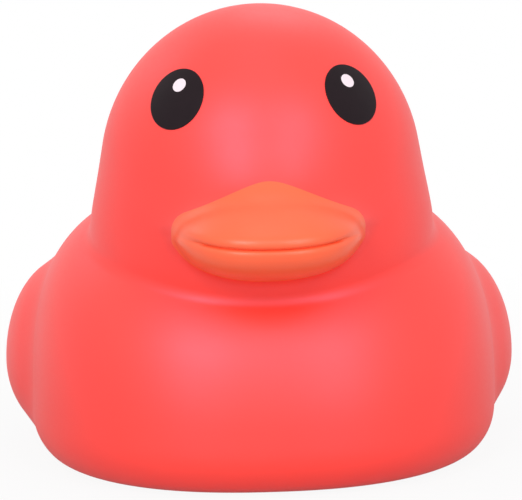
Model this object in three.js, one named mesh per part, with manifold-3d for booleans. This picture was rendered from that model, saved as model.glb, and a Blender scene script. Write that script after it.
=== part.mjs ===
// A squishy toy duck: one hollow moulding in soft vinyl, sealed, so built as one solid.
// Millimetres, +Z up. The duck faces -Y and stands on a flat base at z = 0.
// The origin is on the base, under the middle of the body.
import * as THREE from 'three';
import { mergeVertices } from 'three/addons/utils/BufferGeometryUtils.js';
import Module from 'manifold-3d';

// Body: a full, rounded hull, widest near its foot, with a lifted stern
const BODY_HALF_WIDTH = 38.8;
const BODY_HALF_LENGTH = 41;
const BODY_WIDEST_LEVEL = 9.1;
const BODY_BACK_RISE = 36.5; // from the widest level up to the crown of the back
const BODY_BELLY_DROP = 14; // from the widest level down to the keel that the base cuts off
const BODY_END_FALL = 9.5; // how much lower the crown is over the breast and the stern
const STERN_LIFT = 8; // how much higher the widest level is at the stern
const BODY_PLAN_POWER = 2.3; // 2 is an ellipse from above, more is squarer
const BODY_SIDE_POWER = 2.8; // the same, seen from the front or the side
const BASE_EDGE_BLEND = 2.1;

// Head: nearly a ball, ahead of the middle of the body
const HEAD_HALF_WIDTH = 26.2;
const HEAD_HALF_DEPTH = 26.2;
const HEAD_HALF_HEIGHT = 27.1;
const HEAD_FORWARD = 11;
const HEAD_LIFT = 3.1; // its centre, above the crown of the back

// Neck: the flare under the cheeks, down to the crease where it meets the body
const NECK_HALF_WIDTH = 28.1;
const NECK_HALF_DEPTH = 23.8;
const NECK_HALF_HEIGHT = 19.6;
const NECK_DROP = 11.6; // below the head's centre
const NECK_SETBACK = 0.5; // behind the head's centre
const CHEEK_BLEND = 5.7;
const NECK_CREASE_BLEND = 1.3;

// Wings: an oval pad on each flank, its rear end raised
const WING_HALF_THICKNESS = 11.2;
const WING_HALF_LENGTH = 19;
const WING_HEIGHT = 17; // above its centre
const WING_DEPTH = 12.2; // below its centre
const WING_INSET = 6.8; // its centre, inside the body's widest line
const WING_SETBACK = 10;
const WING_RISE = 4.7; // above the body's widest level
const WING_PITCH = THREE.MathUtils.degToRad(10);
const WING_BLEND = 2;

// Tail: a flat, upturned tip
const TAIL_HALF_WIDTH = 15;
const TAIL_HALF_LENGTH = 18;
const TAIL_HALF_THICKNESS = 7;
const TAIL_INSET = 11; // its centre, inside the body's rear end
const TAIL_RISE = 21; // above the body's widest level
const TAIL_PITCH = THREE.MathUtils.degToRad(33);
const TAIL_BLEND = 14;

// Bill: two lips that meet in a mouth line with raised ends, on a root that closes the corners of the mouth
const BILL_INSET = 5.2; // the middle of its root, inside the front of the head
const MOUTH_DROP = 6.7; // below the head's centre
const SMILE_RISE = 1; // how much higher the mouth line is at the bill's sides
const BILL_PLAN_POWER = 2.5;
const UPPER_BILL_HALF_WIDTH = 15.6;
const UPPER_BILL_LENGTH = 18.3;
const UPPER_BILL_HEIGHT = 8.8;
const UPPER_BILL_SIDE_POWER = 1.5; // under 2, so it rises as a roof and not as a dome
const UPPER_LIP_ROUND = 2.4;
const LOWER_BILL_HALF_WIDTH = 14.4;
const LOWER_BILL_LENGTH = 17.4;
const LOWER_BILL_HEIGHT = 6.9;
const LOWER_BILL_SIDE_POWER = 2.2;
const LOWER_LIP_ROUND = 1;
const BILL_ROOT_HALF_WIDTH = 14.8;
const BILL_ROOT_LENGTH = 13.8;
const BILL_ROOT_HALF_HEIGHT = 3.8;
const BILL_ROOT_PLAN_POWER = 3;
const BILL_ROOT_BLEND = 1;

// The fillet round the bill: narrow under it, and wide over it where the brow runs into it
const CHIN_BLEND = 2;
const BROW_BLEND = 8;
const CHIN_LEVEL = -4; // both levels from the mouth line
const BROW_LEVEL = 12;

// The bill's paint: it ends in a rounded gable on the brow
const PAINT_HALF_WIDTH = 15.3;
const PAINT_PEAK_RISE = 9.2; // above the mouth line
const PAINT_PEAK_ROUND = 1.4;
const PAINT_GABLE_SLOPE = 0.48;

// Eyes: low oval pads on the head, each seen from the head's centre at these angles
const EYE_HALF_WIDTH = 4.95;
const EYE_HALF_HEIGHT = 5.35;
const EYE_PROUD = 0.3;
const EYE_TURN = THREE.MathUtils.degToRad(39.1); // from straight ahead to the side
const EYE_TILT = THREE.MathUtils.degToRad(33.2); // from level to upwards

// Facets: an edge is halved while it lies further than the tolerance from the true surface
const FACET_TOLERANCE = 0.06;
const FACET_ROUNDS = 4;
const BALL_SPLIT_COUNT = 12; // cuts along each edge of the first, even ball of rays
const EYE_SIDE_COUNT = 48;
const EYE_BALL_SIDE_COUNT = 72;

// Finishes: satin vinyl, with the bill and the eyes painted
const VINYL_COLOUR = 0xfe5a55;
const BILL_COLOUR = 0xfd7754;
const EYE_COLOUR = 0x35262e;
const SATIN_ROUGHNESS = 0.4;

// Places that follow from the sizes
const BODY = new THREE.Vector3(0, 0, BODY_WIDEST_LEVEL);
const BACK_CROWN = BODY_WIDEST_LEVEL + BODY_BACK_RISE;
const HEAD = new THREE.Vector3(0, -HEAD_FORWARD, BACK_CROWN + HEAD_LIFT);
const NECK = new THREE.Vector3(0, HEAD.y + NECK_SETBACK, HEAD.z - NECK_DROP);
const WING = new THREE.Vector3(BODY_HALF_WIDTH - WING_INSET, WING_SETBACK, BODY_WIDEST_LEVEL + WING_RISE);
const TAIL = new THREE.Vector3(0, BODY_HALF_LENGTH - TAIL_INSET, BODY_WIDEST_LEVEL + TAIL_RISE);
const BILL = new THREE.Vector3(0, HEAD.y - HEAD_HALF_DEPTH + BILL_INSET, HEAD.z - MOUTH_DROP);
// The core is the point inside the duck that every part of its skin can be seen from.
const CORE = new THREE.Vector3(0, NECK.y / 2, (BODY.z + HEAD.z) / 2 + HEAD_LIFT);

// Distance from (x, y, z) to a rounded lump about the origin, negative inside.
// With both powers at 2 it is an ellipsoid.
function lump(x, y, z, halfX, halfY, halfZ, planPower, sidePower) {
  const tiny = 1e-6;
  const u = Math.abs(x) / halfX + tiny;
  const v = Math.abs(y) / halfY + tiny;
  const w = Math.abs(z) / halfZ + tiny;
  const plan = (u ** planPower + v ** planPower) ** (1 / planPower);
  const size = (plan ** sidePower + w ** sidePower) ** (1 / sidePower);
  const slope = (plan / size) ** (sidePower - 1);
  const slopeX = (slope * (u / plan) ** (planPower - 1)) / halfX;
  const slopeY = (slope * (v / plan) ** (planPower - 1)) / halfY;
  const slopeZ = (w / size) ** (sidePower - 1) / halfZ;
  return (size - 1) / Math.hypot(slopeX, slopeY, slopeZ);
}

// Joins two forms with a fillet that starts where they are `width` apart.
function blend(a, b, width) {
  const near = Math.max(width - Math.abs(a - b), 0) / width;
  return Math.min(a, b) - (near * near * width) / 4;
}

// Keeps what two forms share, with the edge between them rounded.
function trim(a, b, width) {
  return -blend(-a, -b, width);
}

// Turns a place so that a lump's rear end is raised by `angle`.
function pitched(y, z, angle) {
  const c = Math.cos(angle);
  const s = Math.sin(angle);
  return [c * y + s * z, c * z - s * y];
}

function headForm(x, y, z) {
  const ball = lump(x, y - HEAD.y, z - HEAD.z, HEAD_HALF_WIDTH, HEAD_HALF_DEPTH, HEAD_HALF_HEIGHT, 2, 2);
  const neck = lump(x, y - NECK.y, z - NECK.z, NECK_HALF_WIDTH, NECK_HALF_DEPTH, NECK_HALF_HEIGHT, 2, 2);
  return blend(ball, neck, CHEEK_BLEND);
}

// How far along the hull its lift and fall go on changing, where 1 is either end.
const HULL_LIMIT = 1.2;

function hullForm(x, y, z) {
  const along = THREE.MathUtils.clamp((y - BODY.y) / BODY_HALF_LENGTH, -HULL_LIMIT, HULL_LIMIT);
  const lift = STERN_LIFT * Math.max(along, 0) ** 2;
  const level = z - BODY.z - lift;
  const rise = BODY_BACK_RISE - BODY_END_FALL * along ** 2 - lift;
  const halves = [BODY_HALF_WIDTH, BODY_HALF_LENGTH, level > 0 ? rise : BODY_BELLY_DROP + lift];
  return lump(x, y - BODY.y, level, ...halves, BODY_PLAN_POWER, BODY_SIDE_POWER);
}

function tailForm(x, y, z) {
  const [along, across] = pitched(y - TAIL.y, z - TAIL.z, TAIL_PITCH);
  return lump(x, along, across, TAIL_HALF_WIDTH, TAIL_HALF_LENGTH, TAIL_HALF_THICKNESS, 2, 2);
}

function wingForm(x, y, z) {
  const [along, across] = pitched(y - WING.y, z - WING.z, WING_PITCH);
  const out = Math.abs(x) - WING.x;
  const halfHeight = across > 0 ? WING_HEIGHT : WING_DEPTH;
  return lump(out, along, across, WING_HALF_THICKNESS, WING_HALF_LENGTH, halfHeight, 2, 2);
}

function bodyForm(x, y, z) {
  const withTail = blend(hullForm(x, y, z), tailForm(x, y, z), TAIL_BLEND);
  const withWings = blend(withTail, wingForm(x, y, z), WING_BLEND);
  return trim(withWings, -z, BASE_EDGE_BLEND);
}

// One half of the bill, cut off at the mouth line: `side` is +1 above that line and -1 below it.
function lipForm(x, y, z, side) {
  const above = side > 0;
  const halfWidth = above ? UPPER_BILL_HALF_WIDTH : LOWER_BILL_HALF_WIDTH;
  const length = above ? UPPER_BILL_LENGTH : LOWER_BILL_LENGTH;
  const height = above ? UPPER_BILL_HEIGHT : LOWER_BILL_HEIGHT;
  const power = above ? UPPER_BILL_SIDE_POWER : LOWER_BILL_SIDE_POWER;
  const whole = lump(x, y - BILL.y, z - BILL.z, halfWidth, length, height, BILL_PLAN_POWER, power);
  const overMouth = z - BILL.z - SMILE_RISE * (x / UPPER_BILL_HALF_WIDTH) ** 2;
  return trim(whole, -side * overMouth, above ? UPPER_LIP_ROUND : LOWER_LIP_ROUND);
}

// Both lips, each joined to the root, with the mouth line left sharp between them
function billForm(x, y, z) {
  const halves = [BILL_ROOT_HALF_WIDTH, BILL_ROOT_LENGTH, BILL_ROOT_HALF_HEIGHT];
  const root = lump(x, y - BILL.y, z - BILL.z, ...halves, BILL_ROOT_PLAN_POWER, 2);
  const lips = [1, -1].map((side) => blend(lipForm(x, y, z, side), root, BILL_ROOT_BLEND));
  return Math.min(...lips);
}

function duckForm(x, y, z) {
  const browShare = THREE.MathUtils.smoothstep(z, BILL.z + CHIN_LEVEL, BILL.z + BROW_LEVEL);
  const faceBlend = THREE.MathUtils.lerp(CHIN_BLEND, BROW_BLEND, browShare);
  const face = blend(headForm(x, y, z), billForm(x, y, z), faceBlend);
  return blend(face, bodyForm(x, y, z), NECK_CREASE_BLEND);
}

// How rays are run out: from beyond the duck inwards in steps, and then by halving the last step
const REACH = HEAD.z + HEAD_HALF_HEIGHT + BODY_HALF_LENGTH + TAIL_HALF_LENGTH;
const RAY_STEP = 0.4;
const HALVINGS = 30;

// The point where a ray from the core leaves the duck for the last time
function skinPoint(direction) {
  const depth = (t) => duckForm(CORE.x + t * direction.x, CORE.y + t * direction.y, CORE.z + t * direction.z);
  let inside = REACH;
  while (inside > 0 && depth(inside) > 0) {
    inside -= RAY_STEP;
  }
  let outside = inside + RAY_STEP;
  for (let i = 0; i < HALVINGS; i += 1) {
    const middle = (inside + outside) / 2;
    if (depth(middle) > 0) {
      outside = middle;
    } else {
      inside = middle;
    }
  }
  return CORE.clone().addScaledVector(direction, inside);
}

// The skin: a ball of rays, each run out to the surface, with edges halved where the surface curves most.
function skinGeometry() {
  const ball = new THREE.IcosahedronGeometry(1, BALL_SPLIT_COUNT);
  ball.deleteAttribute('normal');
  ball.deleteAttribute('uv');
  const rays = mergeVertices(ball);
  const directions = [];
  const points = [];
  const addRay = (direction) => {
    directions.push(direction);
    points.push(skinPoint(direction));
    return points.length - 1;
  };
  for (let i = 0; i < rays.attributes.position.count; i += 1) {
    addRay(new THREE.Vector3().fromBufferAttribute(rays.attributes.position, i).normalize());
  }
  let triangles = [];
  for (let i = 0; i < rays.index.count; i += 3) {
    triangles.push([rays.index.getX(i), rays.index.getX(i + 1), rays.index.getX(i + 2)]);
  }
  for (let round = 0; round < FACET_ROUNDS; round += 1) {
    triangles = refined(triangles, directions, points, addRay);
  }
  const geometry = new THREE.BufferGeometry();
  geometry.setAttribute('position', new THREE.Float32BufferAttribute(points.flatMap((p) => p.toArray()), 3));
  geometry.setIndex(triangles.flat());
  return geometry;
}

// The places along an edge where it is measured against the surface
const EDGE_SHARES = [0.25, 0.5, 0.75];

// Halves each edge that strays from the surface, and splits the triangles on both sides of it alike.
function refined(triangles, directions, points, addRay) {
  const middles = new Map();
  const middleOf = (a, b) => {
    const key = a < b ? `${a} ${b}` : `${b} ${a}`;
    if (!middles.has(key)) {
      const strays = EDGE_SHARES.some((share) => {
        const chord = points[a].clone().lerp(points[b], share);
        return Math.abs(duckForm(chord.x, chord.y, chord.z)) > FACET_TOLERANCE;
      });
      middles.set(key, strays ? addRay(directions[a].clone().add(directions[b]).normalize()) : null);
    }
    return middles.get(key);
  };
  return triangles.flatMap(([a, b, c]) => {
    return split(points, a, b, c, middleOf(a, b), middleOf(b, c), middleOf(c, a));
  });
}

// The triangle a, b, c cut at the middles that it has: ab, bc and ca are null where an edge stays whole.
function split(points, a, b, c, ab, bc, ca) {
  const cuts = [ab, bc, ca].filter((middle) => middle !== null).length;
  if (cuts === 0) {
    return [[a, b, c]];
  }
  if (cuts === 3) {
    return [[a, ab, ca], [ab, b, bc], [ca, bc, c], [ab, bc, ca]];
  }
  // The corners are turned round until a single cut is at ab, or the one whole edge is ca.
  const turnOn = cuts === 1 ? ab === null : ca !== null;
  if (turnOn) {
    return split(points, b, c, a, bc, ca, ab);
  }
  if (cuts === 1) {
    return [[a, ab, c], [ab, b, c]];
  }
  const shorterFromA = points[a].distanceTo(points[bc]) < points[ab].distanceTo(points[c]);
  const rest = shorterFromA ? [[a, ab, bc], [a, bc, c]] : [[a, ab, c], [ab, bc, c]];
  return [[ab, b, bc], ...rest];
}

const wasm = await Module();
wasm.setup();

function solidOf(geometry) {
  geometry.deleteAttribute('normal');
  geometry.deleteAttribute('uv');
  const merged = mergeVertices(geometry);
  return new wasm.Manifold(
    new wasm.Mesh({
      numProp: 3,
      vertProperties: merged.attributes.position.array,
      triVerts: new Uint32Array(merged.index.array),
    }),
  );
}

// The frame of one eye: across, upward and outward. `side` is +1 at the duck's left.
function eyeFrame(side) {
  const ahead = Math.cos(EYE_TILT) * Math.cos(EYE_TURN);
  const aside = Math.cos(EYE_TILT) * Math.sin(EYE_TURN);
  const outward = new THREE.Vector3(side * aside, -ahead, Math.sin(EYE_TILT));
  const upward = new THREE.Vector3(0, outward.z, -outward.y).normalize();
  const across = new THREE.Vector3().crossVectors(upward, outward);
  return new THREE.Matrix4().makeBasis(across, upward, outward).setPosition(HEAD);
}

// One eye: an oval plug out of the head, cut off by a ball that stands a little proud of it.
function eyeSolid(side) {
  const plug = new THREE.CylinderGeometry(1, 1, HEAD_HALF_DEPTH, EYE_SIDE_COUNT);
  plug.rotateX(Math.PI / 2);
  plug.scale(EYE_HALF_WIDTH, EYE_HALF_HEIGHT, 1);
  plug.translate(0, 0, HEAD_HALF_DEPTH);
  plug.applyMatrix4(eyeFrame(side));
  const ball = new THREE.SphereGeometry(1, EYE_BALL_SIDE_COUNT, EYE_BALL_SIDE_COUNT / 2);
  ball.scale(HEAD_HALF_WIDTH + EYE_PROUD, HEAD_HALF_DEPTH + EYE_PROUD, HEAD_HALF_HEIGHT + EYE_PROUD);
  ball.translate(HEAD.x, HEAD.y, HEAD.z);
  return solidOf(plug).intersect(solidOf(ball));
}

const EYE_PLACES = [-1, 1].map((side) => eyeFrame(side).invert());

// Which finish a place on the skin has: 0 is bare vinyl, 1 the painted bill and 2 a painted eye.
function finishAt(place) {
  const { x, y, z } = place;
  const onEye = EYE_PLACES.some((toEye) => {
    const seen = place.clone().applyMatrix4(toEye);
    return seen.z > 0 && Math.hypot(seen.x / EYE_HALF_WIDTH, seen.y / EYE_HALF_HEIGHT) < 1;
  });
  if (onEye) {
    return 2;
  }
  const gable = PAINT_PEAK_RISE + PAINT_PEAK_ROUND - Math.hypot(PAINT_GABLE_SLOPE * x, PAINT_PEAK_ROUND);
  const underGable = z - BILL.z < gable && Math.abs(x) < PAINT_HALF_WIDTH;
  const onBill = billForm(x, y, z) < Math.min(headForm(x, y, z), bodyForm(x, y, z));
  return underGable && onBill ? 1 : 0;
}

// The skin and the eyes as one solid, its triangles sorted by their finish.
function duckGeometry() {
  const duck = [-1, 1].reduce((solid, side) => solid.add(eyeSolid(side)), solidOf(skinGeometry()));
  const mesh = duck.getMesh();
  const corners = new THREE.Float32BufferAttribute(mesh.vertProperties, 3);
  const sorted = [[], [], []];
  for (let i = 0; i < mesh.triVerts.length; i += 3) {
    const triangle = Array.from(mesh.triVerts.subarray(i, i + 3));
    const places = triangle.map((corner) => new THREE.Vector3().fromBufferAttribute(corners, corner));
    const middle = places[0].add(places[1]).add(places[2]).divideScalar(3);
    sorted[finishAt(middle)].push(...triangle);
  }
  const geometry = new THREE.BufferGeometry();
  geometry.setAttribute('position', corners);
  geometry.setIndex(sorted.flat());
  let start = 0;
  sorted.forEach((list, finish) => {
    geometry.addGroup(start, list.length, finish);
    start += list.length;
  });
  geometry.computeVertexNormals();
  return geometry;
}

const finishes = [VINYL_COLOUR, BILL_COLOUR, EYE_COLOUR].map(
  (color) => new THREE.MeshStandardMaterial({ color, roughness: SATIN_ROUGHNESS, metalness: 0 }),
);
const duckBody = new THREE.Mesh(duckGeometry(), finishes);
duckBody.name = 'duck_body';

const group = new THREE.Group();
group.add(duckBody);

export default group;
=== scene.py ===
"""A squishy toy duck: its vinyl skin, its painted bill, its printed eyes and a plain studio round them."""
import math

import bpy
import numpy as np
from bpy.props import FloatProperty, FloatVectorProperty, PointerProperty
from mathutils import Matrix, Vector


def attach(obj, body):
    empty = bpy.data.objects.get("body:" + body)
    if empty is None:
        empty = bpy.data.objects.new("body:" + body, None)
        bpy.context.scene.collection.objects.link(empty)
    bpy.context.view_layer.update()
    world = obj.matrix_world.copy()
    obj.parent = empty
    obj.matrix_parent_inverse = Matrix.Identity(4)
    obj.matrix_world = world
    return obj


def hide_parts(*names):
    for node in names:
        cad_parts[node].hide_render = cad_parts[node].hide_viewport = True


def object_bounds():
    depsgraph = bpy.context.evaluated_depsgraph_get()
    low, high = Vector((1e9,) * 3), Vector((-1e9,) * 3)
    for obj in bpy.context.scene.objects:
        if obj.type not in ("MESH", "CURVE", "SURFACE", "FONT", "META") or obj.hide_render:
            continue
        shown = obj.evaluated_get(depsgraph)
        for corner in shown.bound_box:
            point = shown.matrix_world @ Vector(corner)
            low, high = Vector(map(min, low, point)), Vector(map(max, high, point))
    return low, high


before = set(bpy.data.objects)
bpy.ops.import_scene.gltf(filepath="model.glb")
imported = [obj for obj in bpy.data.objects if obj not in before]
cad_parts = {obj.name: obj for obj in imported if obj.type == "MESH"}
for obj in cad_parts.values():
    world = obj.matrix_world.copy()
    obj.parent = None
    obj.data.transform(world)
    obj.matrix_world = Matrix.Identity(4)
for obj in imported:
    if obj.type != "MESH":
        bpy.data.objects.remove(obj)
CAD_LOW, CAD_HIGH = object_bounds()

bl_info = {
    "name": "Squishy Toy Duck",
    "version": (1, 0, 0),
    "blender": (4, 5, 0),
    "location": "View3D > Sidebar > Duck",
    "description": "Models a soft vinyl duck and its studio round a packed solid",
    "category": "Add Mesh",
}

MM = 0.001  # a millimetre in metres, the unit of the scene
BODY_NAME = "root"
CAD_NODE = "duck_body"

# The duck's form
HULL_LIMIT = 1.2  # how far along the hull its lift and fall go on changing, where 1 is either end
CORE_LEVEL = 0.42  # height of the core that the skin is run out from, as a share of the duck's height

# Rays, which are run out from inside a form to find its surface
RAY_SHARE = 0.8  # how much of its depth under the surface a ray runs at each step
RAY_STEP = 0.02 * MM  # the shortest step
HALVINGS = 20  # how often the last step is halved

# The skin's mesh, whose edges are halved where they stray from the true surface
SKIN_TOLERANCE = 0.006 * MM
SKIN_ROUNDS = 4
BALL_SUBDIVISIONS = 6
EDGE_SHARES = (0.25, 0.5, 0.75)  # where along an edge its straying is measured

# The meshes of the printed spots and of the bill's coat of paint
SPOT_SIDES = 96
SPOT_RINGS = 6
COAT_SIDES = 192
COAT_RINGS = 24
COAT_ROUNDS = 3
WIDEST_COAT = math.radians(80)  # no ray to the coat's outline leans further from straight ahead
COAT_SINK = 0.6 * MM  # how much deeper than the duck's form the vinyl lies under the coat
COAT_MARGIN = 2 * MM  # how far in from the coat's outline it is as deep as that
INK_SINK = 0.3 * MM  # how deep the underside of paint and ink lies in the vinyl
RIM_SHARE = 0.006  # width of the ring that a film's rim is rounded over, as a share of its radius

# What the finishes share
PLASTIC_IOR = 1.5
ROUGHNESS_SWING = 0.03
CLOUD_DETAIL = 2.0
GRAIN_DETAIL = 1.0
WHITE = (1.0, 1.0, 1.0, 1.0)

# The photograph's frame and its viewpoint
PHOTO_WIDTH = 522  # in pixels
SENSOR_WIDTH = 36.0  # in millimetres, as the camera takes it
PIXELS_PER_MM = 5.953
SCALE_DISTANCE = 608 * MM  # where a millimetre is that many pixels wide
CAMERA_AIM = Vector((0, -5.5, 34.2)) * MM
CAMERA_DISTANCE = 600.7 * MM
CAMERA_AZIMUTH = math.radians(-2.5)
CAMERA_ELEVATION = math.radians(10.36)
CAMERA_ROLL = math.radians(-1.2)

# Softboxes round the duck: name, degrees to the duck's left of straight ahead, degrees up, and radiance
SOFTBOX_SIZE = 0.3
SOFTBOX_DISTANCE = 0.8
SOFTBOXES = (
    ("key", -25, 35, 7),
    ("fill", 25, 35, 4.7),
    ("low_right", -25, 8, 2.4),
    ("low_left", 25, 8, 2.8),
    ("top", 0, 89, 0.7),
    ("rim", -130, 35, 0.8),
    ("back", 170, 45, 1.4),
)
ROOM_FILL = 0.64  # strength of the white room as a light; the eye and reflections see it at 1

# The floor: a grey card that is seen as white, but for some of the duck's shadow
FLOOR_SIZE = 6
FLOOR_GREY = "#c0c0c0"
SHADOW_REACH = 30 * MM  # up to here from the middle of the base the shadow shows most
SHADOW_END = 160 * MM  # and from here on not at all
SHADOW_WHITENESS = 0.92  # how white the camera sees the shadow
MIRRORED_WHITENESS = 0.2  # how white it is in reflections


def linear(hex_colour):
    """An sRGB hex colour as linear red, green and blue, with alpha."""
    shares = [int(hex_colour[i:i + 2], 16) / 255 for i in (1, 3, 5)]
    return [s / 12.92 if s <= 0.04045 else ((s + 0.055) / 1.055) ** 2.4 for s in shares] + [1.0]


def length(name, millimetres, description):
    """A length that a user may change."""
    return FloatProperty(
        name=name,
        description=description,
        default=millimetres * MM,
        precision=5,
        subtype="DISTANCE",
        unit="LENGTH",
    )


def halves(name, x, y, z, description):
    """The half sizes of a lump along X, Y and Z, in millimetres, that a user may change."""
    return FloatVectorProperty(
        name=name,
        description=description,
        default=(x * MM, y * MM, z * MM),
        precision=5,
        subtype="XYZ_LENGTH",
        unit="LENGTH",
    )


def power(name, default, description):
    """How square a lump is: 2 is an ellipse, more is squarer and less comes to a ridge."""
    return FloatProperty(
        name=name,
        description=description,
        default=default,
        min=1.0,
        max=6.0,
        subtype="FACTOR",
    )


def angle(name, degrees, description):
    """An angle that a user may change."""
    return FloatProperty(
        name=name,
        description=description,
        default=math.radians(degrees),
        subtype="ANGLE",
        unit="ROTATION",
    )


def colour(name, hex_colour, description):
    """A colour that a user may change."""
    return FloatVectorProperty(
        name=name,
        description=description,
        default=linear(hex_colour),
        size=4,
        min=0.0,
        max=1.0,
        subtype="COLOR",
    )


def share(name, default, description):
    """A share from 0 to 1 that a user may change."""
    return FloatProperty(
        name=name,
        description=description,
        default=default,
        min=0.0,
        max=1.0,
        subtype="FACTOR",
    )


class DuckBodySizes(bpy.types.PropertyGroup):
    """The hull, the wings and the tail."""

    half_width: length("Half width", 38.8, "From the middle of the hull to its flank")
    half_length: length("Half length", 41, "From the middle of the hull to either end")
    widest_level: length("Widest level", 9.1, "Height of the hull's widest line")
    back_rise: length("Back rise", 36.5, "From the widest line up to the crown of the back")
    belly_drop: length("Belly drop", 14, "From the widest line down to the keel that the base cuts off")
    end_fall: length("End fall", 9.5, "How much lower the crown is over the breast and the stern")
    stern_lift: length("Stern lift", 8, "How much higher the widest line is at the stern")
    plan_power: power("Plan power", 2.3, "How square the hull is from above")
    side_power: power("Side power", 2.8, "How square the hull is from the front")
    base_blend: length("Base blend", 2.1, "Rounding of the edge of the base")
    wing: halves("Wing", 11.2, 19, 17, "Half thickness, half length and upper height of a wing")
    wing_depth: length("Wing depth", 12.2, "From the middle of a wing down to its foot")
    wing_setback: length("Wing setback", 10, "Middle of a wing, behind the middle of the hull")
    wing_inset: length("Wing inset", 6.8, "Middle of a wing, inside the flank")
    wing_rise: length("Wing rise", 4.7, "Middle of a wing, above the widest line")
    wing_pitch: angle("Wing pitch", 10, "How far a wing's rear end is turned up")
    wing_blend: length("Wing blend", 2, "Fillet round a wing")
    tail: halves("Tail", 15, 18, 7, "Half width, length and thickness of the tail")
    tail_inset: length("Tail inset", 11, "Middle of the tail, inside the hull's rear end")
    tail_rise: length("Tail rise", 21, "Middle of the tail, above the widest line")
    tail_pitch: angle("Tail pitch", 33, "How far the tail is turned up")
    tail_blend: length("Tail blend", 14, "Fillet where the tail leaves the hull")


class DuckHeadSizes(bpy.types.PropertyGroup):
    """The head, the neck, the bill and the eyes."""

    head: halves("Head", 26.2, 26.2, 27.1, "Half width, depth and height of the head")
    head_forward: length("Head forward", 11, "Middle of the head, ahead of the middle of the hull")
    neck: halves("Neck", 28.1, 23.8, 19.6, "Half width, depth and height of the flare under the cheeks")
    neck_drop: length("Neck drop", 11.6, "Middle of the neck, below the middle of the head")
    neck_setback: length("Neck setback", 0.5, "Middle of the neck, behind the middle of the head")
    cheek_blend: length("Cheek blend", 5.7, "Fillet between the head and the neck")
    crease_blend: length("Crease blend", 1.3, "Fillet in the crease between the neck and the hull")
    bill_inset: length("Bill inset", 5.2, "Middle of the bill's root, inside the front of the head")
    mouth_drop: length("Mouth drop", 6.7, "Mouth line, below the middle of the head")
    bill_plan_power: power("Bill plan power", 2.5, "How square the bill is from above")
    upper_bill: halves("Upper bill", 15.6, 18.3, 8.8, "Half width, length and height of the upper bill")
    upper_bill_power: power("Upper bill power", 1.5, "Under 2, so it rises as a roof and not as a dome")
    upper_lip_round: length("Upper lip round", 2.4, "Rounding of the upper lip")
    lower_bill: halves("Lower bill", 14.4, 17.4, 6.9, "Half width, length and height of the lower bill")
    lower_bill_power: power("Lower bill power", 2.2, "How square the lower bill is from the front")
    lower_lip_round: length("Lower lip round", 1, "Rounding of the lower lip")
    smile_rise: length("Smile rise", 1, "How much higher the mouth line is at the bill's sides")
    bill_root: halves("Bill root", 14.8, 13.8, 3.8, "Half sizes of the root that closes the mouth's corners")
    bill_root_power: power("Bill root power", 3, "How square the root is from above")
    bill_root_blend: length("Bill root blend", 1, "Fillet between the root and the lips")
    chin_blend: length("Chin blend", 2, "Fillet between the bill and the face, under the bill")
    brow_blend: length("Brow blend", 8, "The same fillet over the bill, where the brow runs into it")
    chin_level: length("Chin level", -4, "Where the fillet starts to widen, from the mouth line")
    brow_level: length("Brow level", 12, "Where the fillet is widest, from the mouth line")
    paint_half_width: length("Paint half width", 15.3, "Half width of the paint on the bill")
    paint_peak_rise: length("Paint peak rise", 9.2, "Peak of the paint's gable, above the mouth line")
    paint_peak_round: length("Paint peak round", 1.4, "Rounding of the gable's peak")
    paint_gable_slope: share("Paint gable slope", 0.48, "Fall of the gable for each millimetre to the side")
    paint_corner: length("Paint corner", 2.5, "Rounding of the paint's corners")
    paint_proud: length("Paint proud", 0.05, "How far the paint stands above the vinyl")
    eye_half_width: length("Eye half width", 4.95, "Half width of a printed eye")
    eye_half_height: length("Eye half height", 5.35, "Half height of a printed eye")
    eye_turn: angle("Eye turn", 39.1, "From straight ahead to the side, seen from the middle of the head")
    eye_tilt: angle("Eye tilt", 33.2, "From level to upwards, seen from the middle of the head")
    eye_proud: length("Eye proud", 0.15, "How far the black ink stands above the vinyl")
    glint_radius: length("Glint radius", 1.18, "Radius of the white dot in an eye")
    glint_up: length("Glint up", 2.05, "Middle of the white dot, above the middle of the eye")
    glint_in: length("Glint in", 0.8, "Middle of the white dot, inwards from the middle of the eye")
    glint_proud: length("Glint proud", 0.2, "How far the white ink stands above the vinyl")


class DuckFinish(bpy.types.PropertyGroup):
    """The colours and the gloss."""

    vinyl: colour("Vinyl", "#fe4530", "Soft vinyl, coloured through")
    vinyl_deep: colour("Vinyl, deep", "#fe3f2b", "Soft vinyl where it is a little thicker")
    vinyl_shine: colour("Vinyl shine", "#ffceff", "Tint of the highlights on the vinyl")
    bill: colour("Bill paint", "#fd6740", "Paint sprayed on the bill through a mask")
    bill_thin: colour("Bill paint, thin", "#fd623c", "The same paint where its coat is thinner")
    eye: colour("Eye ink", "#190e13", "Black ink printed on the eyes")
    eye_thin: colour("Eye ink, thin", "#1f1318", "The same ink where its film is thinner")
    glint: colour("Glint ink", "#eee0e6", "White ink printed in the eyes")
    glint_thin: colour("Glint ink, thin", "#e8d8df", "The same ink where its film is thinner")
    vinyl_roughness: share("Vinyl roughness", 0.46, "How dull the vinyl is")
    paint_roughness: share("Paint roughness", 0.34, "How dull the bill's paint is")
    ink_roughness: share("Ink roughness", 0.45, "How dull the ink of the eyes is")


def direction(azimuth, elevation):
    """A direction turned to the duck's left from straight ahead, and then upwards."""
    level = math.cos(elevation)
    return Vector((level * math.sin(azimuth), -level * math.cos(azimuth), math.sin(elevation)))


def away(places, core):
    """The directions from a core to places."""
    rays = places - core
    return rays / np.linalg.norm(rays, axis=1, keepdims=True)


def ease(value):
    """A smooth step from 0 to 1, level at both ends."""
    along = np.clip(value, 0, 1)
    return along ** 2 * (3 - 2 * along)


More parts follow.
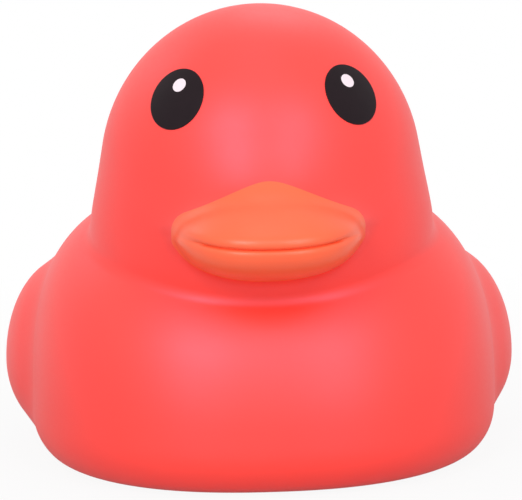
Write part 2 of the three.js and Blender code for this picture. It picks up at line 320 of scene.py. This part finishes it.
def lump(places, half_sizes, plan_power=2.0, side_power=2.0):
    """Distance to a rounded lump about the origin, negative inside. Powers of 2 make it an ellipsoid."""
    tiny = 1e-6  # keeps the divisors below from being 0 at the origin
    half_x, half_y, half_z = half_sizes
    u, v, w = (np.abs(axis) / half + tiny for axis, half in zip(places.T, (half_x, half_y, half_z)))
    plan = (u ** plan_power + v ** plan_power) ** (1 / plan_power)
    whole = (plan ** side_power + w ** side_power) ** (1 / side_power)
    slope = (plan / whole) ** (side_power - 1)
    slope_x = slope * (u / plan) ** (plan_power - 1) / half_x
    slope_y = slope * (v / plan) ** (plan_power - 1) / half_y
    slope_z = (w / whole) ** (side_power - 1) / half_z
    return (whole - 1) / np.sqrt(slope_x ** 2 + slope_y ** 2 + slope_z ** 2)


def blend(a, b, width):
    """Join two forms with a fillet that starts where they are `width` apart."""
    near = np.maximum(width - np.abs(a - b), 0) / width
    return np.minimum(a, b) - near ** 2 * width / 4


def trim(a, b, width):
    """Keep what two forms share, with the edge between them rounded."""
    return -blend(-a, -b, width)


def pitched(places, rise):
    """Turn places so that a lump's rear end is raised by the angle `rise`."""
    x, y, z = places.T
    c, s = math.cos(rise), math.sin(rise)
    return np.stack([x, c * y + s * z, c * z - s * y], axis=1)


def close_in(near, far, is_inside):
    """Halve the gap between what lies inside and what lies outside, until it is too small to matter."""
    for _ in range(HALVINGS):
        middle = (near + far) / 2
        inside = is_inside(middle)
        near = np.where(inside, middle, near)
        far = np.where(inside, far, middle)
    return near


def run_out(surface, starts, directions, height=0.0):
    """Where rays that start inside a surface first come out of it, or first reach `height` above it."""
    near = np.array(np.broadcast_to(starts, directions.shape))
    far = near.copy()
    running = np.arange(len(near))
    while len(running):
        depth = height - surface(far[running])
        running, depth = running[depth > 0], depth[depth > 0]
        near[running] = far[running]
        far[running] += np.maximum(RAY_SHARE * depth, RAY_STEP)[:, None] * directions[running]
    return close_in(near, far, lambda places: (surface(places) < height)[:, None])


class DuckForm:
    """The duck's true surface. Each form is the distance to it from an array of places, negative inside."""

    def __init__(self, scene):
        body, head = scene.duck_body, scene.duck_head
        self.body_sizes, self.head_sizes = body, head
        # The crown of the head is the CAD box's own.
        self.head_at = np.array([0, -head.head_forward, CAD_HIGH.z - head.head[2]])
        self.neck_at = self.head_at + (0, head.neck_setback, -head.neck_drop)
        wing_aside = body.half_width - body.wing_inset
        self.wing_at = np.array([wing_aside, body.wing_setback, body.widest_level + body.wing_rise])
        tail_back = body.half_length - body.tail_inset
        self.tail_at = np.array([0, tail_back, body.widest_level + body.tail_rise])
        self.bill_at = self.head_at + (0, head.bill_inset - head.head[1], -head.mouth_drop)
        # Every part of the painted bill can be seen from here, level with the mouth.
        self.bill_core = (self.bill_at + (0, self.head_at[1], self.bill_at[2])) / 2
        # Every part of the skin can be seen from the core.
        self.core = np.array([0, self.neck_at[1] / 2, CAD_HIGH.z * CORE_LEVEL])

    def head(self, places):
        """The ball of the head and the flare of the neck under it."""
        sizes = self.head_sizes
        ball = lump(places - self.head_at, sizes.head)
        neck = lump(places - self.neck_at, sizes.neck)
        return blend(ball, neck, sizes.cheek_blend)

    def hull(self, places):
        """A lump that is higher over its widest line than under it. The line is lifted at the stern."""
        sizes = self.body_sizes
        x, y, z = places.T
        along = np.clip(y / sizes.half_length, -HULL_LIMIT, HULL_LIMIT)
        lift = sizes.stern_lift * np.maximum(along, 0) ** 2
        level = z - sizes.widest_level - lift
        rise = sizes.back_rise - sizes.end_fall * along ** 2 - lift
        half_z = np.where(level > 0, rise, sizes.belly_drop + lift)
        half_sizes = (sizes.half_width, sizes.half_length, half_z)
        return lump(np.stack([x, y, level], axis=1), half_sizes, sizes.plan_power, sizes.side_power)

    def body(self, places):
        """The hull with its tail and both wings, cut off flat by the base."""
        sizes = self.body_sizes
        tail = lump(pitched(places - self.tail_at, sizes.tail_pitch), sizes.tail)
        folded = places.copy()
        folded[:, 0] = np.abs(places[:, 0])
        on_wing = pitched(folded - self.wing_at, sizes.wing_pitch)
        half_z = np.where(on_wing[:, 2] > 0, sizes.wing[2], sizes.wing_depth)
        wing = lump(on_wing, (sizes.wing[0], sizes.wing[1], half_z))
        whole = blend(self.hull(places), tail, sizes.tail_blend)
        whole = blend(whole, wing, sizes.wing_blend)
        return trim(whole, -places[:, 2], sizes.base_blend)

    def bill(self, places):
        """Both lips, each joined to the root, with the mouth line left sharp between them."""
        sizes = self.head_sizes
        near = places - self.bill_at
        level = near[:, 2] - sizes.smile_rise * (near[:, 0] / sizes.upper_bill[0]) ** 2
        root = lump(near, sizes.bill_root, sizes.bill_root_power)
        upper = lump(near, sizes.upper_bill, sizes.bill_plan_power, sizes.upper_bill_power)
        upper = trim(upper, -level, sizes.upper_lip_round)
        lower = lump(near, sizes.lower_bill, sizes.bill_plan_power, sizes.lower_bill_power)
        lower = trim(lower, level, sizes.lower_lip_round)
        upper, lower = (blend(lip, root, sizes.bill_root_blend) for lip in (upper, lower))
        return np.minimum(upper, lower)

    def face(self, places):
        """The head with the bill, whose fillet is narrow at the chin and wide at the brow."""
        sizes = self.head_sizes
        level = places[:, 2] - self.bill_at[2]
        along = ease((level - sizes.chin_level) / (sizes.brow_level - sizes.chin_level))
        width = sizes.chin_blend + (sizes.brow_blend - sizes.chin_blend) * along
        return blend(self.head(places), self.bill(places), width)

    def duck(self, places):
        """The whole duck, with the crease round its neck."""
        return blend(self.face(places), self.body(places), self.head_sizes.crease_blend)

    def paint(self, places):
        """How far a place lies outside the painted part of the bill, negative inside it."""
        sizes = self.head_sizes
        x, _, z = places.T
        fall = np.hypot(sizes.paint_gable_slope * x, sizes.paint_peak_round) - sizes.paint_peak_round
        over_gable = z - self.bill_at[2] - sizes.paint_peak_rise + fall
        past_side = np.abs(x) - sizes.paint_half_width
        off_bill = self.bill(places) - self.head(places)
        return np.maximum(trim(over_gable, past_side, sizes.paint_corner), off_bill)

    def skin(self, places):
        """The moulding: under the paint it lies deeper than the duck's form, to stay out of sight."""
        return self.duck(places) + COAT_SINK * ease(-self.paint(places) / COAT_MARGIN)

    def eye_frame(self, side):
        """The across, upward and outward directions of one eye: `side` is +1 at the duck's left."""
        outward = direction(side * self.head_sizes.eye_turn, self.head_sizes.eye_tilt)
        upward = Vector((0, outward.z, -outward.y)).normalized()
        return np.array([upward.cross(outward), upward, outward])


def places_of(mesh):
    """The places of a mesh's vertices, one row each."""
    flat = np.empty(len(mesh.vertices) * 3, np.float32)
    mesh.vertices.foreach_get("co", flat)
    return flat.reshape(-1, 3).astype(float)


def move_vertices(mesh, places):
    """Put a mesh's vertices at these places."""
    mesh.vertices.foreach_set("co", places.astype(np.float32).ravel())
    mesh.update()


def halve_strays(context, mesh, surface, height):
    """Halve the edges of each face that strays from `height` above a surface."""
    ends = np.empty(len(mesh.edges) * 2, np.int32)
    mesh.edges.foreach_get("vertices", ends)
    first, second = places_of(mesh)[ends.reshape(-1, 2).T]
    strays = np.zeros(len(mesh.edges), bool)
    for part in EDGE_SHARES:
        strays |= np.abs(surface(first + part * (second - first)) - height) > SKIN_TOLERANCE
    sides = np.empty(len(mesh.loops), np.int32)
    mesh.loops.foreach_get("edge_index", sides)
    side_counts = np.empty(len(mesh.polygons), np.int32)
    mesh.polygons.foreach_get("loop_total", side_counts)
    faces = np.repeat(np.arange(len(side_counts)), side_counts)
    stray_faces = np.bincount(faces, strays[sides]) > 0
    strays[sides[stray_faces[faces]]] = True
    context.tool_settings.mesh_select_mode = (False, True, False)
    bpy.ops.object.mode_set(mode="EDIT")
    bpy.ops.mesh.select_all(action="DESELECT")
    bpy.ops.object.mode_set(mode="OBJECT")
    mesh.edges.foreach_set("select", strays)
    bpy.ops.object.mode_set(mode="EDIT")
    bpy.ops.mesh.subdivide(number_cuts=1)
    bpy.ops.mesh.select_all(action="SELECT")
    bpy.ops.mesh.quads_convert_to_tris()
    bpy.ops.object.mode_set(mode="OBJECT")


def wrap(context, mesh, surface, core, rounds, height=0.0):
    """Run a mesh out from a core to `height` above a surface, and refine it there round by round."""
    move_vertices(mesh, run_out(surface, core, away(places_of(mesh), core), height))
    for _ in range(rounds):
        halve_strays(context, mesh, surface, height)
        move_vertices(mesh, run_out(surface, core, away(places_of(mesh), core), height))


def start_piece(name):
    """Name the primitive that was just added, and put its place into its mesh."""
    piece = bpy.context.object
    piece.name = name
    piece.data.name = name
    bpy.ops.object.transform_apply(location=True, rotation=True, scale=True)
    return piece


def finish_piece(piece, material):
    """Give a piece its finish and let it ride on the duck."""
    piece.data.materials.clear()
    piece.data.materials.append(material)
    bpy.ops.object.shade_smooth()
    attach(piece, BODY_NAME)


def add_node(tree, kind, values=None, links=None, **settings):
    """Add a node, set its fields and its sockets, and link what feeds it."""
    node = tree.nodes.new(kind)
    for name, value in settings.items():
        setattr(node, name, value)
    for socket, value in (values or {}).items():
        node.inputs[socket].default_value = value
    for socket, source in (links or {}).items():
        tree.links.new(source, node.inputs[socket])
    return node


def empty_tree(owner):
    """The node tree of a material or a world, with nothing in it."""
    owner.use_nodes = True
    owner.node_tree.nodes.clear()
    return owner.node_tree


def new_material(name):
    """A material, its empty node tree, and the Object coordinates that its patterns read."""
    material = bpy.data.materials.new(name)
    tree = empty_tree(material)
    place = add_node(tree, "ShaderNodeTexCoord").outputs["Object"]
    return material, tree, place


def satin(name, hues, cloud_size, grain_size, relief, roughness, gloss, gloss_tint=WHITE):
    """A satin finish: two near hues in soft clouds, and a fine grain in the relief and in the gloss."""
    material, tree, place = new_material(name)
    clouds, grain = (
        add_node(tree, "ShaderNodeTexNoise", {"Scale": 1 / size, "Detail": detail}, {"Vector": place})
        for size, detail in ((cloud_size, CLOUD_DETAIL), (grain_size, GRAIN_DETAIL))
    )
    hue = add_node(
        tree,
        "ShaderNodeMix",
        {"A": hues[0], "B": hues[1]},
        {"Factor": clouds.outputs["Fac"]},
        data_type="RGBA",
    )
    dullness = add_node(
        tree,
        "ShaderNodeMapRange",
        {"To Min": roughness - ROUGHNESS_SWING, "To Max": roughness + ROUGHNESS_SWING},
        {"Value": grain.outputs["Fac"]},
    )
    bumps = add_node(tree, "ShaderNodeBump", {"Distance": relief}, {"Height": grain.outputs["Fac"]})
    shader = add_node(
        tree,
        "ShaderNodeBsdfPrincipled",
        {"IOR": PLASTIC_IOR, "Specular IOR Level": gloss, "Specular Tint": gloss_tint},
        {
            "Base Color": hue.outputs["Result"],
            "Roughness": dullness.outputs["Result"],
            "Normal": bumps.outputs["Normal"],
        },
    )
    add_node(tree, "ShaderNodeOutputMaterial", links={"Surface": shader.outputs["BSDF"]})
    return material


def soft_vinyl(finish):
    """Soft vinyl from a satin mould: an even, waxy red whose broad, dull highlights turn pink.
    Its real grain is too fine to see at this size, so it is drawn coarser."""
    return satin(
        "soft_vinyl",
        hues=(finish.vinyl, finish.vinyl_deep),
        cloud_size=14 * MM,
        grain_size=0.7 * MM,
        relief=0.004 * MM,
        roughness=finish.vinyl_roughness,
        gloss=0.85,
        gloss_tint=finish.vinyl_shine,
    )


def bill_paint(finish):
    """Paint sprayed through a mask: an even orange, a little cloudy where it is thin, with a white shine."""
    return satin(
        "bill_paint",
        hues=(finish.bill, finish.bill_thin),
        cloud_size=6 * MM,
        grain_size=1.1 * MM,
        relief=0.004 * MM,
        roughness=finish.paint_roughness,
        gloss=0.45,
    )


def printed_ink(name, hues, finish):
    """Pad-printed ink: a thin, even film that hardly shines."""
    return satin(
        name,
        hues=hues,
        cloud_size=2 * MM,
        grain_size=0.8 * MM,
        relief=0.002 * MM,
        roughness=finish.ink_roughness,
        gloss=0.12,
    )


class DUCK_OT_skin(bpy.types.Operator):
    """Model the moulded skin: a ball whose points are run out from the core to the duck's form"""

    bl_idname = "duck.skin"
    bl_label = "Moulded skin"

    def execute(self, context):
        form = DuckForm(context.scene)
        bpy.ops.object.select_all(action="DESELECT")
        bpy.ops.mesh.primitive_ico_sphere_add(
            subdivisions=BALL_SUBDIVISIONS, radius=CAD_HIGH.z / 2, location=form.core
        )
        skin = start_piece("duck_skin")
        wrap(context, skin.data, form.skin, form.core, SKIN_ROUNDS)
        finish_piece(skin, soft_vinyl(context.scene.duck_finish))
        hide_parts(CAD_NODE)
        return {"FINISHED"}


def ringed_disc(name, sides, rings):
    """A flat disc of radius 1 with even rings of faces inside a thin outermost one."""
    bpy.ops.object.select_all(action="DESELECT")
    bpy.ops.mesh.primitive_circle_add(vertices=sides, radius=1, fill_type="NGON")
    disc = start_piece(name)
    bpy.ops.object.mode_set(mode="EDIT")
    bpy.ops.mesh.select_all(action="SELECT")
    bpy.ops.mesh.inset(thickness=RIM_SHARE)
    for _ in range(rings):
        bpy.ops.mesh.inset(thickness=(1 - RIM_SHARE) / (rings + 1))
    bpy.ops.mesh.poke()
    bpy.ops.object.mode_set(mode="OBJECT")
    return disc


def thicken(piece, core, thickness):
    """Close a sheet into a thin film whose underside goes into the vinyl, straight towards the core."""
    face = places_of(piece.data)
    film = piece.modifiers.new("film", "SOLIDIFY")
    film.thickness = thickness
    film.offset = -1
    bpy.ops.object.modifier_apply(modifier=film.name)
    underside = face - thickness * away(face, core)
    # The modifier lists the face or the underside first, and their places show which.
    face_first = np.allclose(places_of(piece.data)[:len(face)], face, atol=thickness / 2)
    move_vertices(piece.data, np.concatenate([face, underside] if face_first else [underside, face]))


class DUCK_OT_bill_paint(bpy.types.Operator):
    """Coat the bill: a disc run out over the bill from inside it, as far as the paint's outline"""

    bl_idname = "duck.bill_paint"
    bl_label = "Bill paint"

    def execute(self, context):
        form = DuckForm(context.scene)
        proud = context.scene.duck_head.paint_proud
        coat = ringed_disc("bill_coat", COAT_SIDES, COAT_RINGS)
        x, y, _ = places_of(coat.data).T
        turn = np.arctan2(y, x)
        turns = np.linspace(-math.pi, math.pi, 2 * COAT_SIDES + 1)
        lean = np.hypot(x, y) * np.interp(turn, turns, self.outline(form, turns))
        move_vertices(coat.data, form.bill_core + MM * self.rays(turn, lean))
        wrap(context, coat.data, form.face, form.bill_core, COAT_ROUNDS, proud)
        thicken(coat, form.bill_core, proud + INK_SINK)
        finish_piece(coat, bill_paint(context.scene.duck_finish))
        return {"FINISHED"}

    def rays(self, turn, lean):
        """Directions that lean away from straight ahead, each turned round that line."""
        aside = np.sin(lean)
        return np.stack([aside * np.cos(turn), -np.cos(lean), aside * np.sin(turn)], axis=1)

    def outline(self, form, turn):
        """How far a ray at each turn leans where it meets the outline of the paint."""
        def is_painted(lean):
            return form.paint(run_out(form.face, form.bill_core, self.rays(turn, lean))) < 0

        return close_in(np.zeros(len(turn)), np.full(len(turn), WIDEST_COAT), is_painted)


def print_spot(name, form, side, middle, half_sizes, proud):
    """Model one spot of ink on the head: a disc laid on the skin round `middle` in the eye's frame."""
    spot = ringed_disc(name, SPOT_SIDES, SPOT_RINGS)
    across, upward, outward = form.eye_frame(side)
    flat = places_of(spot.data)[:, :2] * half_sizes + middle
    starts = form.head_at + flat[:, :1] * across + flat[:, 1:] * upward
    move_vertices(spot.data, run_out(form.face, starts, np.tile(outward, (len(starts), 1)), proud))
    thicken(spot, form.head_at, proud + INK_SINK)
    return spot


class DUCK_OT_eyes(bpy.types.Operator):
    """Print the two black eyes on the head"""

    bl_idname = "duck.eyes"
    bl_label = "Eyes"

    def execute(self, context):
        form = DuckForm(context.scene)
        sizes = context.scene.duck_head
        finish = context.scene.duck_finish
        ink = printed_ink("eye_black_ink", (finish.eye, finish.eye_thin), finish)
        half_sizes = (sizes.eye_half_width, sizes.eye_half_height)
        for name, side in (("eye_left", 1), ("eye_right", -1)):
            eye = print_spot(name, form, side, (0, 0), half_sizes, sizes.eye_proud)
            finish_piece(eye, ink)
        return {"FINISHED"}


class DUCK_OT_glints(bpy.types.Operator):
    """Print the white dot in each eye"""

    bl_idname = "duck.glints"
    bl_label = "Glints"

    def execute(self, context):
        form = DuckForm(context.scene)
        sizes = context.scene.duck_head
        finish = context.scene.duck_finish
        ink = printed_ink("eye_white_ink", (finish.glint, finish.glint_thin), finish)
        for name, side in (("glint_left", 1), ("glint_right", -1)):
            middle = (-side * sizes.glint_in, sizes.glint_up)
            glint = print_spot(name, form, side, middle, sizes.glint_radius, sizes.glint_proud)
            finish_piece(glint, ink)
        return {"FINISHED"}


class DUCK_OT_studio(bpy.types.Operator):
    """Set up the pale floor, the soft lights and the camera"""

    bl_idname = "duck.studio"
    bl_label = "Studio"

    def execute(self, context):
        scene = context.scene
        scene.view_settings.view_transform = "Standard"
        self.add_floor()
        self.add_room(scene)
        for softbox in SOFTBOXES:
            self.add_softbox(scene, *softbox)
        self.add_camera(scene)
        return {"FINISHED"}

    def sight(self, tree):
        """Two switches: 1 for what the camera sees, and 1 for what is seen in or through a piece."""
        path = add_node(tree, "ShaderNodeLightPath").outputs
        links = {0: path["Is Glossy Ray"], 1: path["Is Transmission Ray"]}
        mirrored = add_node(tree, "ShaderNodeMath", links=links, operation="MAXIMUM")
        return path["Is Camera Ray"], mirrored.outputs["Value"]

    def add_floor(self):
        """Lay the card, which is matte grey to the lamps and glows white where it is seen."""
        bpy.ops.object.select_all(action="DESELECT")
        bpy.ops.mesh.primitive_plane_add(size=FLOOR_SIZE)
        floor = start_piece("floor")
        material, tree, place = new_material("white_card")
        matte = add_node(tree, "ShaderNodeBsdfDiffuse", {"Color": linear(FLOOR_GREY)})
        glow = add_node(tree, "ShaderNodeEmission")
        reach = add_node(tree, "ShaderNodeVectorMath", links={0: place}, operation="LENGTH")
        glow_shares = []
        for seen, in_shadow in zip(self.sight(tree), (SHADOW_WHITENESS, MIRRORED_WHITENESS)):
            whiteness = add_node(
                tree,
                "ShaderNodeMapRange",
                {"From Min": SHADOW_REACH, "From Max": SHADOW_END, "To Min": in_shadow, "To Max": 1.0},
                {"Value": reach.outputs["Value"]},
            )
            links = {0: seen, 1: whiteness.outputs["Result"]}
            glow_share = add_node(tree, "ShaderNodeMath", links=links, operation="MULTIPLY")
            glow_shares.append(glow_share.outputs["Value"])
        links = dict(enumerate(glow_shares))
        whole_share = add_node(tree, "ShaderNodeMath", links=links, operation="ADD")
        links = {0: whole_share.outputs["Value"], 1: matte.outputs["BSDF"], 2: glow.outputs["Emission"]}
        card = add_node(tree, "ShaderNodeMixShader", links=links)
        add_node(tree, "ShaderNodeOutputMaterial", links={"Surface": card.outputs["Shader"]})
        floor.data.materials.append(material)

    def add_room(self, scene):
        """Put a white room round the duck, which is dimmer as a light than it looks."""
        scene.world = bpy.data.worlds.new("white_room")
        tree = empty_tree(scene.world)
        links = dict(enumerate(self.sight(tree)))
        seen = add_node(tree, "ShaderNodeMath", links=links, operation="MAXIMUM")
        strength = add_node(
            tree,
            "ShaderNodeMapRange",
            {"To Min": ROOM_FILL, "To Max": 1.0},
            {"Value": seen.outputs["Value"]},
        )
        links = {"Strength": strength.outputs["Result"]}
        walls = add_node(tree, "ShaderNodeBackground", {"Color": WHITE}, links)
        add_node(tree, "ShaderNodeOutputWorld", links={"Surface": walls.outputs["Background"]})

    def add_softbox(self, scene, name, azimuth, elevation, radiance):
        """Hang a square lamp that faces the duck. A surface with a radiance of 1 is seen as white."""
        towards = direction(math.radians(azimuth), math.radians(elevation))
        lamp = bpy.data.lights.new(name, "AREA")
        lamp.shape = "SQUARE"
        lamp.size = SOFTBOX_SIZE
        lamp.energy = radiance * math.pi * SOFTBOX_SIZE ** 2
        box = bpy.data.objects.new(name, lamp)
        scene.collection.objects.link(box)
        box.location = Vector((0, 0, CAD_HIGH.z / 2)) + SOFTBOX_DISTANCE * towards
        box.rotation_euler = towards.to_track_quat("Z", "Y").to_euler()
        box.visible_camera = False

    def add_camera(self, scene):
        """Set the camera where the photograph was taken from, with its frame and its slight roll."""
        back = direction(CAMERA_AZIMUTH, CAMERA_ELEVATION)
        right = Vector((math.cos(CAMERA_AZIMUTH), math.sin(CAMERA_AZIMUTH), 0))
        level = Matrix((right, back.cross(right), back)).transposed().to_4x4()
        roll = Matrix.Rotation(CAMERA_ROLL, 4, "Z")
        lens = bpy.data.cameras.new("camera")
        lens.sensor_width = SENSOR_WIDTH
        lens.lens = PIXELS_PER_MM / MM * SCALE_DISTANCE * SENSOR_WIDTH / PHOTO_WIDTH
        camera = bpy.data.objects.new("camera", lens)
        scene.collection.objects.link(camera)
        camera.matrix_world = Matrix.Translation(CAMERA_AIM + CAMERA_DISTANCE * back) @ level @ roll
        scene.camera = camera


OPERATORS = (DUCK_OT_skin, DUCK_OT_bill_paint, DUCK_OT_eyes, DUCK_OT_glints, DUCK_OT_studio)
GROUPS = {"duck_body": DuckBodySizes, "duck_head": DuckHeadSizes, "duck_finish": DuckFinish}


class DUCK_PT_sidebar(bpy.types.Panel):
    """The duck's pieces and its studio, with their sizes and colours"""

    bl_idname = "DUCK_PT_sidebar"
    bl_label = "Squishy Toy Duck"
    bl_space_type = "VIEW_3D"
    bl_region_type = "UI"
    bl_category = "Duck"

    def draw(self, context):
        for operator in OPERATORS:
            self.layout.operator(operator.bl_idname)
        for name, group in GROUPS.items():
            box = self.layout.box()
            for field in group.__annotations__:
                box.prop(getattr(context.scene, name), field)


CLASSES = (*GROUPS.values(), *OPERATORS, DUCK_PT_sidebar)


def register():
    for cls in CLASSES:
        bpy.utils.register_class(cls)
    for name, group in GROUPS.items():
        setattr(bpy.types.Scene, name, PointerProperty(type=group))


def unregister():
    for name in GROUPS:
        delattr(bpy.types.Scene, name)
    for cls in reversed(CLASSES):
        bpy.utils.unregister_class(cls)


def main():
    """Model the duck and set up its studio."""
    register()
    bpy.ops.duck.skin()
    bpy.ops.duck.bill_paint()
    bpy.ops.duck.eyes()
    bpy.ops.duck.glints()
    bpy.ops.duck.studio()


if __name__ == "__main__":
    main()
